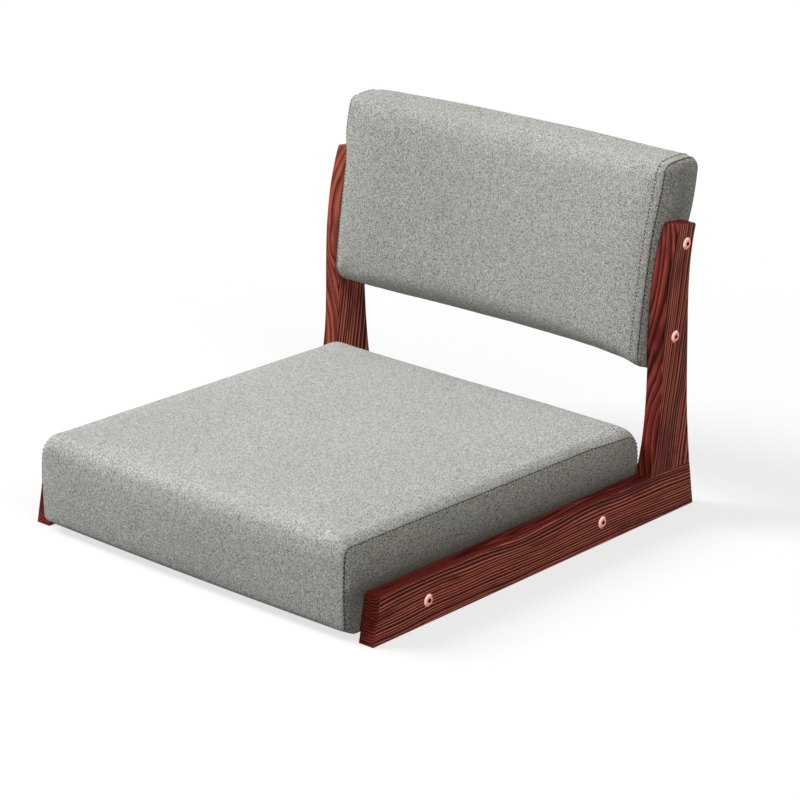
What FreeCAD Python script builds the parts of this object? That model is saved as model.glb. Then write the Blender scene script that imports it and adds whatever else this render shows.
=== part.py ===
import FreeCAD, Part

import math
import os

os.makedirs("parts", exist_ok=True)

# A legless floor chair: two wooden side frames hold a padded seat and a curved, padded back.
# Millimetres. X runs across the chair, Y from the sitter's feet to the back, Z up from the floor.
# The origin is on the floor, under the middle of the whole chair.

# Overall sizes
frame_width = 450        # over the outer faces of the two side frames
rail_length = 480        # from toe to heel, along the floor
overall_height = 360     # from the floor to the crown of the back pad

# Side frames
wood_thickness = 19
rail_height = 47
toe_slant = 9.4          # how far the toe leans back over the rail's height
toe_round = 3
arris = 1.4              # rounding of the long edges
upright_setback = 20.1   # from the heel forward to the upright's rear edge, at its deepest
upright_depth = 65.9     # front to rear, at the foot
upright_above_bolt = 20.7
upright_top_drop = 2.8   # the top falls by this much towards the rear
upright_top_round = 2.5
dowel_radius = 4
dowel_length = 40
dowel_spacing = 30

# Heights of the upright's five stations: foot, flare, lower bolt, upper bolt and top.
flare_share = 0.4        # height of the flare between foot and lower bolt
setback_shares = (0.41, 0.776, 1, 0.856, 0.642)
depth_shares = (1, 0.715, 0.614, 0.467, 0.42)

# Bolts and their threaded sleeves
bolt_radius = 3
bolt_head_radius = 6.3
bolt_head_height = 1.9
bolt_rim_height = 0.6
bolt_crown_radius = 4.3
socket_width = 4
socket_depth = 3
thread_engagement = 12
sleeve_radius = 5
sleeve_length = 15
sleeve_flange_radius = 6.5
sleeve_flange_height = 1.2
bolt_clearance = 0.25    # round a bolt in wood, cloth and foam
snug = 0.05              # round a dowel, a screw, a sleeve or a thread

# Cloth, foam and pads
pad_clearance = 0.3      # between a pad and the side frames
cloth_thickness = 1.2
foam_skirt = 4           # foam over the edges of the boards and battens
hem_width = 28           # cloth turned under the seat

# Seat pad
seat_overhang = 11       # how far the seat's front edge passes the toes
seat_past_foot = 8       # how far its rear edge passes the front of the uprights' feet
seat_floor_gap = 9
seat_height = 100        # from the floor to the front of the top, at its sides
seat_tilt = -3.5         # the top falls towards the rear
seat_crown = 1.5
seat_front_bow = 2.4
seat_rear_bow = 1
seat_plan_bow = 3        # the front and rear edges, seen from above
seat_front_round = 14.5
seat_rear_round = 16
seat_end_round = 14      # where the top, front and rear turn into the sides
seat_batten_width = 38
seat_batten_thickness = 27
seat_board_thickness = 9
front_bolt_inset = 84.6  # from the seat's front edge
rear_bolt_inset = 84     # from the seat's rear edge
dust_cover_thickness = 0.6
dust_cover_inset = 10
staple_width = 10
staple_wire = 0.8
staple_leg = 8
staples_per_side = 6
side_screw_shares = (0.14, 0.5, 0.86)   # along each side batten
cross_screw_shares = (-0.5, 0.5)         # along the front and rear battens

# Back pad, in its own upright frame: x across, n towards the rear, s up
back_lean = 9.8          # degrees from upright
back_height = 205
back_thickness = 56.3
back_plan_bow = 18       # the back curves round the sitter by this much
back_front_bow = 4.6
back_rear_bow = 1.5
back_tilt = 5            # the top rises towards the rear
back_top_crown = 3       # the top edge rises by this much at mid width
back_top_bow = 1.5
back_bottom_bow = 1
back_front_round = 11.5
back_rear_round = 9
back_bottom_round = 10
back_middle_round = 8    # how much rounder all four edges are at mid width
back_end_round = 8       # where the cover turns into the side panels
back_bolt_spacing = 91.8
lower_bolt_above_edge = 32
bolts_behind_middle = 2.4
upper_bolt_inset = 11.7  # from the upright's rear edge
lower_bolt_inset = 22
back_board_thickness = 9
back_front_foam = 12.5
back_batten_width = 24
back_batten_depth = 22
back_edge_margin = 13    # from the pad's outline to the board and battens

# Wood screws in both boards
screw_radius = 1.75
screw_head_radius = 3.8
screw_head_height = 2.6
screw_length = 25
screw_sink = 0.6         # head below the board's face

overrun = 5              # how far a cutter passes the faces that it cuts
least_bow = 1e-6         # an arc flatter than this is drawn as a line

# Shares of a pad's straight half width, and degrees round its ends, at which its outline is drawn
station_shares = (-1, -0.55, 0, 0.55, 1)
end_turns = (0, 30, 60, 90)
seam_turn = 45           # degrees round the end, where the side panel is sewn on

# Places worked out from the sizes above. Y is counted from the toe until a piece is saved.
frame_half = frame_width / 2
inner_face = frame_half - wood_thickness
pad_half = inner_face - pad_clearance
block_half = pad_half - cloth_thickness - foam_skirt
heel = rail_length
upright_foot_front = heel - upright_setback * setback_shares[0] - upright_depth
seat_front = -seat_overhang
seat_rear = upright_foot_front + seat_past_foot
seat_block_front = seat_front + cloth_thickness + foam_skirt
seat_block_rear = seat_rear - cloth_thickness - foam_skirt
seat_batten_bottom = seat_floor_gap + cloth_thickness
seat_batten_top = seat_batten_bottom + seat_batten_thickness
seat_board_top = seat_batten_top + seat_board_thickness
seat_bolt_height = rail_height / 2
seat_bolt_places = (seat_front + front_bolt_inset, seat_rear - rear_bolt_inset)

back_front = -back_thickness / 2 - bolts_behind_middle
back_rear = back_front + back_thickness
back_bottom = -back_bolt_spacing / 2 - lower_bolt_above_edge
back_top = back_bottom + back_height
back_block_bottom = back_bottom + back_edge_margin
back_block_top = back_top - back_edge_margin
back_board_front = back_front + back_front_foam
back_board_bow = back_plan_bow * (block_half / pad_half) ** 2


def point(y, z, x=0):
    return FreeCAD.Vector(x, y, z)


def side_line(a, b):
    """Straight edge between two points."""
    return Part.LineSegment(a, b).toShape()


def bowed(a, middle, b):
    """Arc through three points, or a line when the three lie on one."""
    if (middle - a).cross(b - a).Length < least_bow * (b - a).Length:
        return side_line(a, b)
    return Part.Arc(a, middle, b).toShape()


def block(x0, x1, y0, y1, z0, z1):
    """Box between two corners."""
    return Part.makeBox(x1 - x0, y1 - y0, z1 - z0, FreeCAD.Vector(x0, y0, z0))


def rod(radius, start, end):
    """Cylinder from one point to another."""
    return Part.makeCylinder(radius, (end - start).Length, start, end - start)


def prism(edges, x0, x1):
    """Closed outline in a plane across X, carried from x0 to x1."""
    face = Part.Face(Part.Wire(edges))
    face.translate(FreeCAD.Vector(x0, 0, 0))
    return face.extrude(FreeCAD.Vector(x1 - x0, 0, 0))


def ease_long_edges(solid, spared):
    """Rounds the edges of both side faces, except those that a rule spares."""
    edges = []
    for edge in solid.Edges:
        box = edge.BoundBox
        if box.XLength < arris and not spared(box):
            edges.append(edge)
    return solid.makeFillet(arris, edges)


def pad_outline(x, front, rear, bottom, top, tilt, rounds, bows):
    """Closed outline of a pad at one place across its width: four bowed sides, four round corners."""
    low_front, low_rear, high_rear, high_front = rounds
    bow_bottom, bow_rear, bow_top, bow_front = bows
    top_front = top - tilt / 2
    top_rear = top + tilt / 2
    middle = (front + rear) / 2
    half_up = (bottom + top) / 2
    near = 1 - math.sqrt(1 / 2)
    a = point(front + low_front, bottom, x)
    b = point(rear - low_rear, bottom, x)
    c = point(rear, bottom + low_rear, x)
    d = point(rear, top_rear - high_rear, x)
    e = point(rear - high_rear, top_rear, x)
    f = point(front + high_front, top_front, x)
    g = point(front, top_front - high_front, x)
    h = point(front, bottom + low_front, x)
    return Part.Wire([
        bowed(a, point(middle, bottom - bow_bottom, x), b),
        bowed(b, point(rear - low_rear * near, bottom + low_rear * near, x), c),
        bowed(c, point(rear + bow_rear, half_up, x), d),
        bowed(d, point(rear - high_rear * near, top_rear - high_rear * near, x), e),
        bowed(e, point((e.y + f.y) / 2, top + bow_top, x), f),
        bowed(f, point(front + high_front * near, top_front - high_front * near, x), g),
        bowed(g, point(front - bow_front, half_up, x), h),
        bowed(h, point(front + low_front * near, bottom + low_front * near, x), a),
    ])


def rounded_pad(outline, end_round, inset):
    """Pad whose outline is a function of its place and of how far it has turned in at the ends.

    The body is a smooth loft across the width. Each end is a second loft through a quarter turn.
    """
    straight = pad_half - end_round
    turn_radius = end_round - inset
    body = [outline(share * straight, 0) for share in station_shares]
    solid = Part.makeLoft(body, True, False)
    ends = []
    for side in (-1, 1):
        wires = []
        for turn in end_turns:
            angle = math.radians(turn)
            x = side * (straight + turn_radius * math.sin(angle))
            wires.append(outline(x, turn_radius * (1 - math.cos(angle))))
        ends.append(Part.makeLoft(wires, True, False))
    return solid.multiFuse(ends)


def seat_form(inset):
    """The crowned seat pad, drawn in all round by an inset."""
    low = foam_skirt + cloth_thickness - inset

    def outline(x, turned):
        fullness = 1 - (x / pad_half) ** 2
        bow = seat_plan_bow * fullness
        inward = inset + turned
        rounds = (low, low, seat_rear_round - inward, seat_front_round - inward)
        bows = (0, seat_rear_bow, seat_crown * fullness, seat_front_bow)
        return pad_outline(
            x, seat_front - bow + inward, seat_rear + bow / 2 - inward, seat_floor_gap + inset,
            seat_height + seat_tilt / 2 - inward, seat_tilt, rounds, bows)

    return rounded_pad(outline, seat_end_round, inset)


def back_form(inset):
    """The back pad in its own upright frame, curved round the sitter, drawn in by an inset."""

    def outline(x, turned):
        fullness = 1 - (x / pad_half) ** 2
        shift = back_plan_bow * fullness
        inward = inset + turned
        rounder = back_middle_round * fullness - inward
        low = back_bottom_round + rounder
        rounds = (low, low, back_rear_round + rounder, back_front_round + rounder)
        bows = (back_bottom_bow, back_rear_bow, back_top_bow, back_front_bow)
        return pad_outline(
            x, back_front + shift + inward, back_rear + shift - inward, back_bottom + inward,
            back_top + back_top_crown * fullness - inward, back_tilt, rounds, bows)

    return rounded_pad(outline, back_end_round, inset)


def seam_place(end_round):
    """Distance from the chair's middle to the seam of a side panel."""
    return pad_half - end_round * (1 - math.sin(math.radians(seam_turn)))


def leaned(shape, middle_y, middle_z):
    """Leans a piece of the back about the middle of its bolts and puts it in the chair."""
    placed = shape.copy()
    placed.rotate(point(0, 0), FreeCAD.Vector(1, 0, 0), -back_lean)
    placed.translate(point(middle_y, middle_z))
    return placed


# The back's crown sets its height, and with it the height of the bolts and the uprights.
crown_above_bolts = leaned(back_form(0), 0, 0).optimalBoundingBox(True, False).ZMax
bolt_middle_height = overall_height - crown_above_bolts
lower_bolt_height = bolt_middle_height - back_bolt_spacing / 2
upper_bolt_height = bolt_middle_height + back_bolt_spacing / 2
upright_top = upper_bolt_height + upright_above_bolt
station_heights = (
    rail_height,
    rail_height + flare_share * (lower_bolt_height - rail_height),
    lower_bolt_height,
    upper_bolt_height,
    upright_top,
)
lower_bolt_place = heel - upright_setback * setback_shares[2] - lower_bolt_inset
upper_bolt_place = heel - upright_setback * setback_shares[3] - upper_bolt_inset
bolt_middle_place = (lower_bolt_place + upper_bolt_place) / 2
back_bolt_points = (
    (lower_bolt_place, lower_bolt_height),
    (upper_bolt_place, upper_bolt_height),
)
seat_bolt_points = [(place, seat_bolt_height) for place in seat_bolt_places]


def upright_edges():
    """Rear and front edges of the upright, as smooth curves through its five stations."""
    rear = []
    front = []
    for height, setback, depth in zip(station_heights, setback_shares, depth_shares):
        y = heel - upright_setback * setback
        rear.append(point(y, height))
        front.append(point(y - upright_depth * depth, height))
    rear[-1].z -= upright_top_drop
    rear_curve = Part.BSplineCurve()
    rear_curve.interpolate(rear)
    front_curve = Part.BSplineCurve()
    front_curve.interpolate(front)
    return rear_curve.toShape(), front_curve.toShape(), rear, front


def upright_solid():
    """One upright on the right-hand side, before its holes."""
    rear_edge, front_edge, rear, front = upright_edges()
    edges = [rear_edge, side_line(rear[-1], front[-1]), front_edge, side_line(front[0], rear[0])]
    solid = prism(edges, inner_face, frame_half)
    top_edges = [
        edge for edge in solid.Edges
        if edge.BoundBox.XLength > arris and edge.BoundBox.ZMin > upper_bolt_height
    ]
    solid = solid.makeFillet(upright_top_round, top_edges)
    return ease_long_edges(solid, lambda box: box.ZMax < rail_height + snug)


def rail_solid():
    """One rail on the right-hand side, before its holes: sharp only where the upright stands."""
    rise = toe_slant / rail_height
    slope = math.hypot(toe_slant, rail_height)
    corner = point(toe_slant, rail_height)
    along_top = corner + point(toe_round, 0)
    down_toe = corner - point(toe_slant, rail_height) * (toe_round / slope)
    inside = (along_top + down_toe) * (1 / 2)
    toe_arc = bowed(down_toe, corner + (inside - corner) * (1 / 2), along_top)
    foot = upright_foot_front
    front_edges = [
        side_line(point(foot, 0), point(0, 0)),
        side_line(point(0, 0), down_toe),
        toe_arc,
        side_line(along_top, point(foot, rail_height)),
        side_line(point(foot, rail_height), point(foot, 0)),
    ]
    front = prism(front_edges, inner_face, frame_half)
    front = ease_long_edges(front, lambda box: box.YMin > foot - snug)
    heel_top = heel - upright_setback * setback_shares[0]
    rear_edges = [
        side_line(point(foot, 0), point(foot, rail_height)),
        side_line(point(foot, rail_height), point(heel_top, rail_height)),
        side_line(point(heel_top, rail_height), point(heel, 0)),
        side_line(point(heel, 0), point(foot, 0)),
    ]
    rear = prism(rear_edges, inner_face, frame_half)
    rear = ease_long_edges(
        rear, lambda box: box.YMax < foot + snug or box.ZMin > rail_height - snug)
    return front.fuse(rear).removeSplitter()


def upright_dowel_solids(spare):
    """The two dowels of the right-hand joint, made larger by the spare given."""
    middle_y = heel - upright_setback * setback_shares[0] - upright_depth / 2
    middle_x = (inner_face + frame_half) / 2
    solids = []
    for side in (-1, 1):
        y = middle_y + side * dowel_spacing / 2
        half = dowel_length / 2 + spare
        solids.append(rod(dowel_radius + spare, point(y, rail_height - half, middle_x),
                          point(y, rail_height + half, middle_x)))
    return solids


def hexagon(width, x0, x1):
    """Hexagonal prism along X, by its width across the flats."""
    corner = width / math.sqrt(3)
    turns = [math.radians(60 * step) for step in range(6)]
    corners = [point(corner * math.cos(turn), corner * math.sin(turn)) for turn in turns]
    edges = [side_line(a, b) for a, b in zip(corners, corners[1:] + corners[:1])]
    return prism(edges, x0, x1)


def bolt_solid(y, z):
    """Low-head bolt from the outside of the right-hand frame into its threaded sleeve."""
    face = frame_half
    tip = block_half - thread_engagement
    along = FreeCAD.Vector(1, 0, 0)
    shank = rod(bolt_radius, point(0, 0, tip), point(0, 0, face))
    rim = Part.makeCylinder(bolt_head_radius, bolt_rim_height, point(0, 0, face), along)
    crown = Part.makeCone(
        bolt_head_radius, bolt_crown_radius, bolt_head_height - bolt_rim_height,
        point(0, 0, face + bolt_rim_height), along)
    top = face + bolt_head_height
    socket = hexagon(socket_width, top - socket_depth, top + overrun)
    solid = shank.fuse(rim).fuse(crown).removeSplitter().cut(socket)
    solid.translate(point(y, z))
    return solid


def bolt_hole(y, z):
    """Clearance for a bolt's shank, through the frame, the cloth and the foam."""
    tip = block_half - thread_engagement - overrun
    return rod(bolt_radius + bolt_clearance, point(y, z, tip), point(y, z, frame_half + overrun))


def sleeve_body(y, z, spare):
    """Outer shape of a threaded sleeve, made larger by the spare given."""
    start = point(y, z, block_half)
    flange_end = point(y, z, block_half - sleeve_flange_height)
    body_end = point(y, z, block_half - sleeve_length - spare)
    flange = rod(sleeve_flange_radius + spare, start, flange_end)
    return flange.fuse(rod(sleeve_radius + spare, start, body_end)).removeSplitter()


def sleeve_solid(y, z):
    """Threaded sleeve in a batten, with its bore."""
    inner = point(y, z, block_half - sleeve_length - overrun)
    outer = point(y, z, block_half + overrun)
    return sleeve_body(y, z, 0).cut(rod(bolt_radius + snug, inner, outer))


def screw_solid(spare):
    """Countersunk wood screw with its head's top at the origin, pointing down Z."""
    down = FreeCAD.Vector(0, 0, -1)
    head = Part.makeCone(screw_head_radius + spare, screw_radius + spare, screw_head_height,
                         point(0, 0), down)
    shank = rod(screw_radius + spare, point(0, 0), point(0, -screw_length - spare))
    return head.fuse(shank).removeSplitter()


def group(shapes):
    """Several separate solids kept together."""
    return Part.makeCompound(shapes)


def less(shape, tools):
    """Cuts several tools out of a shape."""
    if not tools:
        return shape
    return shape.cut(group(tools))


def mirrored(shape):
    """The same piece on the left-hand side."""
    return shape.mirror(FreeCAD.Vector(0, 0, 0), FreeCAD.Vector(1, 0, 0))


def both(shapes):
    """Pieces of the right-hand side with those of the left."""
    return shapes + [mirrored(shape) for shape in shapes]


def seat_board_screw_points():
    """Places of the screws that hold the seat board: along the side battens and the cross battens."""
    depth = seat_block_rear - seat_block_front
    side_x = block_half - seat_batten_width / 2
    cross = block_half - seat_batten_width
    points = []
    for share in side_screw_shares:
        points.append((side_x, seat_block_front + depth * share))
        points.append((-side_x, seat_block_front + depth * share))
    for share in cross_screw_shares:
        points.append((cross * share, seat_block_front + seat_batten_width / 2))
        points.append((cross * share, seat_block_rear - seat_batten_width / 2))
    return points


def seat_board_screws(spare):
    """All the screws of the seat board."""
    screws = []
    for x, y in seat_board_screw_points():
        screw = screw_solid(spare)
        screw.translate(point(y, seat_board_top - screw_sink, x))
        screws.append(screw)
    return screws


def seat_corner_dowels(spare):
    """Two dowels in each corner of the seat frame, lying across the joint."""
    joint = block_half - seat_batten_width
    height = (seat_batten_bottom + seat_batten_top) / 2
    half = dowel_length / 2 + spare
    dowels = []
    for middle in (seat_block_front + seat_batten_width / 2, seat_block_rear - seat_batten_width / 2):
        for side in (-1, 1):
            y = middle + side * seat_batten_width / 4
            dowels.append(rod(dowel_radius + spare, point(y, height, joint - half),
                              point(y, height, joint + half)))
    return both(dowels)


def staple_solids():
    """Wire staples round the dust cover: a crown below the cloth and two legs up into the battens."""
    top = seat_floor_gap - dust_cover_thickness
    inset = (dust_cover_inset + hem_width) / 2
    half_x = pad_half - inset
    front = seat_front + inset
    rear = seat_rear - inset
    half = staple_width / 2
    wire = staple_wire / 2
    staples = []
    for step in range(staples_per_side):
        share = (step + 1) / (staples_per_side + 1)
        x = half_x * (2 * share - 1)
        for y in (front, rear):
            crown = block(x - half, x + half, y - wire, y + wire, top - staple_wire, top)
            legs = [
                block(x + end * (half - wire) - wire, x + end * (half - wire) + wire,
                      y - wire, y + wire, top - staple_wire, top + staple_leg)
                for end in (-1, 1)
            ]
            staples.append(crown.multiFuse(legs).removeSplitter())
        y = front + (rear - front) * share
        for x in (-half_x, half_x):
            crown = block(x - wire, x + wire, y - half, y + half, top - staple_wire, top)
            legs = [
                block(x - wire, x + wire, y + end * (half - wire) - wire,
                      y + end * (half - wire) + wire, top - staple_wire, top + staple_leg)
                for end in (-1, 1)
            ]
            staples.append(crown.multiFuse(legs).removeSplitter())
    return staples


def seat_frame():
    """The four battens under the seat board, before their holes."""
    width = seat_batten_width
    low = seat_batten_bottom
    high = seat_batten_top
    front = seat_block_front
    rear = seat_block_rear
    inner = block_half - width
    return {
        "seat_batten_right": block(inner, block_half, front, rear, low, high),
        "seat_batten_left": block(-block_half, -inner, front, rear, low, high),
        "seat_batten_front": block(-inner, inner, front, front + width, low, high),
        "seat_batten_rear": block(-inner, inner, rear - width, rear, low, high),
    }


def seat_pieces():
    """Everything that the seat pad is made of."""
    holes = both([bolt_hole(y, z) for y, z in seat_bolt_points])
    sleeves = both([sleeve_solid(y, z) for y, z in seat_bolt_points])
    seats = both([sleeve_body(y, z, snug) for y, z in seat_bolt_points])
    staples = staple_solids()
    screw_room = seat_board_screws(snug)
    room = seats + holes + seat_corner_dowels(snug) + screw_room + staples
    pieces = {name: less(solid, room) for name, solid in seat_frame().items()}

    board = block(-block_half, block_half, seat_block_front, seat_block_rear,
                  seat_batten_top, seat_board_top)
    pieces["seat_board"] = less(board, screw_room + [
        rod(screw_head_radius + snug, point(y, seat_board_top - screw_sink, x),
            point(y, seat_board_top + overrun, x))
        for x, y in seat_board_screw_points()
    ])

    inner = seat_form(cloth_thickness)
    core = block(-block_half, block_half, seat_block_front, seat_block_rear,
                 -overrun, seat_board_top)
    pieces["seat_foam"] = less(inner.cut(core), holes)

    shell = seat_form(0).cut(inner)
    hem_x = pad_half - hem_width
    hem_front = seat_front + hem_width
    hem_rear = seat_rear - hem_width
    window = block(-hem_x, hem_x, hem_front, hem_rear, -overrun, seat_batten_bottom + snug)
    shell = less(shell, [window] + staples)
    seam = seam_place(seat_end_round)
    side = block(seam, pad_half + overrun, seat_front - hem_width, seat_rear + hem_width,
                 0, overall_height)
    hem = block(hem_x - overrun, pad_half + overrun, hem_front, hem_rear,
                0, seat_batten_bottom)
    sides = side.fuse(hem)
    pieces["seat_side_panel_right"] = less(shell.common(sides), holes)
    pieces["seat_side_panel_left"] = less(shell.common(mirrored(sides)), holes)
    pieces["seat_cover"] = less(shell, [sides, mirrored(sides)])

    lap_x = pad_half - dust_cover_inset
    dust = block(-lap_x, lap_x, seat_front + dust_cover_inset, seat_rear - dust_cover_inset,
                 seat_floor_gap - dust_cover_thickness, seat_floor_gap)
    pieces["seat_dust_cover"] = less(dust, staples)
    pieces["seat_staples"] = group(staples)
    pieces["seat_insert_nuts"] = group(sleeves)
    pieces["seat_frame_dowels"] = group(seat_corner_dowels(0))
    pieces["seat_board_screws"] = group(seat_board_screws(0))
    return pieces


def plan_region(front, depth):
    """Curved slab of the back's own frame: from a bowed front face towards the rear by a depth."""
    ends = block_half + cloth_thickness + foam_skirt + overrun
    bow = back_board_bow * (ends / block_half) ** 2
    low = front + back_board_bow - bow
    edges = [
        bowed(FreeCAD.Vector(-ends, low, 0), FreeCAD.Vector(0, low + bow, 0),
              FreeCAD.Vector(ends, low, 0)),
        side_line(FreeCAD.Vector(ends, low, 0), FreeCAD.Vector(ends, low + depth, 0)),
        bowed(FreeCAD.Vector(ends, low + depth, 0), FreeCAD.Vector(0, low + depth + bow, 0),
              FreeCAD.Vector(-ends, low + depth, 0)),
        side_line(FreeCAD.Vector(-ends, low + depth, 0), FreeCAD.Vector(-ends, low, 0)),
    ]
    return Part.Face(Part.Wire(edges))


def plan_slab(front, depth, bottom, top):
    """The same curved slab between two heights."""
    face = plan_region(front, depth)
    face.translate(FreeCAD.Vector(0, 0, bottom))
    return face.extrude(FreeCAD.Vector(0, 0, top - bottom))


def back_board_screws(spare):
    """Screws through the bent board into both battens, clear of the threaded sleeves."""
    x = block_half - back_batten_width / 2
    face = back_board_front + back_board_bow * (1 - (x / block_half) ** 2)
    screws = []
    for height in (0, (back_bolt_spacing / 2 + back_block_top) / 2):
        screw = screw_solid(spare)
        screw.rotate(point(0, 0), FreeCAD.Vector(1, 0, 0), 90)
        screw.translate(FreeCAD.Vector(x, face + screw_sink, height))
        screws.append(screw)
    return both(screws)


def back_pieces():
    """Everything that the back pad is made of."""
    far = back_thickness + back_plan_bow
    low = back_bottom - overrun
    high = back_top + back_top_crown + back_edge_margin
    middle = (bolt_middle_place, bolt_middle_height)
    holes = both([bolt_hole(y, z) for y, z in back_bolt_points])
    sleeves = both([sleeve_solid(y, z) for y, z in back_bolt_points])
    seats = both([sleeve_body(y, z, snug) for y, z in back_bolt_points])
    screw_room = back_board_screws(snug)

    sides = block(-block_half, block_half, -far, far, back_block_bottom, back_block_top)
    board = plan_slab(back_board_front, back_board_thickness, back_block_bottom, back_block_top)
    board = board.common(sides)
    board_rear = back_board_front + back_board_thickness
    behind_board = plan_slab(board_rear, far, back_block_bottom, back_block_top)
    batten = block(block_half - back_batten_width, block_half, board_rear - overrun,
                   board_rear + back_batten_depth, back_block_bottom, back_block_top)
    battens = [batten.common(behind_board), mirrored(batten).common(behind_board)]

    inner = back_form(cloth_thickness)
    ahead = plan_slab(back_board_front - far, far, low, high)
    front_foam = inner.common(ahead)
    rear_foam = less(inner, [ahead, board] + battens)

    shell = back_form(0).cut(inner)
    seam = seam_place(back_end_round)
    side = block(seam, pad_half + overrun, -far, far, low, high)
    strip_round = back_bottom_round + back_middle_round - cloth_thickness
    strip = plan_slab(back_front + strip_round, back_thickness - strip_round * 2, low,
                      back_bottom + cloth_thickness).common(block(-seam, seam, -far, far, low, high))

    head_room = [
        rod(screw_head_radius + snug, FreeCAD.Vector(screw.BoundBox.Center.x, screw.BoundBox.YMin,
                                                     screw.BoundBox.Center.z),
            FreeCAD.Vector(screw.BoundBox.Center.x, screw.BoundBox.YMin - overrun,
                           screw.BoundBox.Center.z))
        for screw in screw_room
    ]
    local = {
        "back_board": less(board, screw_room + head_room),
        "back_batten_right": less(battens[0], screw_room),
        "back_batten_left": less(battens[1], screw_room),
        "back_foam_front": front_foam,
        "back_foam_rear": rear_foam,
        "back_side_panel_right": shell.common(side),
        "back_side_panel_left": shell.common(mirrored(side)),
        "back_bottom_panel": shell.common(strip),
        "back_cover": less(shell, [side, mirrored(side), strip]),
        "back_board_screws": group(back_board_screws(0)),
    }
    pieces = {name: leaned(shape, *middle) for name, shape in local.items()}
    for name in ("back_batten_right", "back_batten_left"):
        pieces[name] = less(pieces[name], seats + holes)
    for name in ("back_foam_front", "back_foam_rear", "back_side_panel_right",
                 "back_side_panel_left"):
        pieces[name] = less(pieces[name], holes)
    pieces["back_insert_nuts"] = group(sleeves)
    return pieces


def side_frame_pieces():
    """The wooden side frames with their dowels and bolts."""
    seat_holes = [bolt_hole(y, z) for y, z in seat_bolt_points]
    back_holes = [bolt_hole(y, z) for y, z in back_bolt_points]
    dowel_room = upright_dowel_solids(snug)
    rail = less(rail_solid(), seat_holes + dowel_room)
    upright = less(upright_solid(), back_holes + dowel_room)
    return {
        "right_rail": rail,
        "left_rail": mirrored(rail),
        "right_upright": upright,
        "left_upright": mirrored(upright),
        "upright_dowels": group(both(upright_dowel_solids(0))),
        "seat_bolts": group(both([bolt_solid(y, z) for y, z in seat_bolt_points])),
        "back_bolts": group(both([bolt_solid(y, z) for y, z in back_bolt_points])),
    }


def main():
    pieces = {**side_frame_pieces(), **seat_pieces(), **back_pieces()}
    whole = group(list(pieces.values())).optimalBoundingBox(True, False)
    to_origin = point(-(whole.YMin + whole.YMax) / 2, 0)
    for name, shape in pieces.items():
        shape.translate(to_origin)
        shape.exportStep("parts/" + name + ".step")
        print(name, len(shape.Solids), "valid" if shape.isValid() else "NOT VALID",
              round(shape.Volume / 1000, 2), "cm3")
    print("whole", [round(v, 2) for v in (whole.XLength, whole.YLength, whole.ZLength)],
          "lowest", round(whole.ZMin, 3), "toe at", round(to_origin.y, 2))
    print("bolt heights", round(lower_bolt_height, 2), round(upper_bolt_height, 2),
          "upright top", round(upright_top, 2))


main()
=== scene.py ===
# %% [markdown]
# # A tatami chair
# A low, legless floor chair: two dark wooden side frames hold a padded seat and a curved back.
# The frame, the bolts and the inner pieces come ready made from the chair's own solids. This lesson
# gives them their finishes, and sews the two pads anew as cloth.

# %% Start
import math

import bpy
import numpy as np
from mathutils import Matrix, Vector


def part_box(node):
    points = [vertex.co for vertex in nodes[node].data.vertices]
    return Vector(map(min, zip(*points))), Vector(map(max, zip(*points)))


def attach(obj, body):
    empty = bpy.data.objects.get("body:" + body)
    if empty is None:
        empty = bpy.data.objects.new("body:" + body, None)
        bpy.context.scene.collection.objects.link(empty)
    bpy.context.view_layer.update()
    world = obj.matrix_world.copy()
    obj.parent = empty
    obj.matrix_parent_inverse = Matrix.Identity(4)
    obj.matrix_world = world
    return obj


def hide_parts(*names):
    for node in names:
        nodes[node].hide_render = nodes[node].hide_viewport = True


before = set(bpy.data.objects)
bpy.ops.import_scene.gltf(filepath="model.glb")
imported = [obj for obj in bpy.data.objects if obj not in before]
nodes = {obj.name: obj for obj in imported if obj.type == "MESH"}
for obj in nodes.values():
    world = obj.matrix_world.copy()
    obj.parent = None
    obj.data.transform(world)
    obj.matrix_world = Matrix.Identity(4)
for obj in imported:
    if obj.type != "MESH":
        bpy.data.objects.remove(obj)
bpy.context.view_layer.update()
mm = 0.001


def placed(name, data):
    """A new object in the scene, from its camera, mesh or light."""
    made = bpy.data.objects.new(name, data)
    bpy.context.scene.collection.objects.link(made)
    return made


# %% [markdown]
# ## The camera
# The picture was taken from the chair's right front, about a metre above the seat and three metres
# away. The angles, the distance and the long lens were found by fitting the rails' edges. A camera
# can be turned by angles or made to track an object. Here it is written as a direction, a distance
# and a target, and its matrix is built from three unit vectors, so no order of turns matters.

# %% Camera
view_turn = math.radians(41.5818)      # from straight ahead, to the chair's right
view_rise = math.radians(19.6859)      # above the horizon
view_roll = math.radians(0.3229)
view_distance = 2.91233
view_target = np.array([0.0368081, 0.0, 0.1262445])
picture_width = 800
focal_pixels = 2974.4166
sensor_width = 36.0

towards = np.array([math.sin(view_turn) * math.cos(view_rise),
                    -math.cos(view_turn) * math.cos(view_rise), math.sin(view_rise)])
level = np.array([math.cos(view_turn), math.sin(view_turn), 0.0])
level_up = np.cross(towards, level)
across = math.cos(view_roll) * level + math.sin(view_roll) * level_up
upward = math.cos(view_roll) * level_up - math.sin(view_roll) * level
place = view_target + towards * view_distance

camera = placed("Camera", bpy.data.cameras.new("Camera"))
camera.data.sensor_width = sensor_width
camera.data.lens = focal_pixels * sensor_width / picture_width
camera.data.clip_start = 0.05
camera.matrix_world = Matrix([[*row, place[i]] for i, row in
                              enumerate(np.stack([across, upward, towards], 1).tolist())]
                             + [[0, 0, 0, 1]])
bpy.context.scene.camera = camera
print("camera at", place.round(3), "lens", round(camera.data.lens, 1))

# %% [markdown]
# ## Node helpers
# Every finish below is a small network of shader nodes. A few helpers keep the networks short:
# they add a node and link or set its inputs, or add a sum, a smooth step, a colour mix or a ramp.

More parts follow.
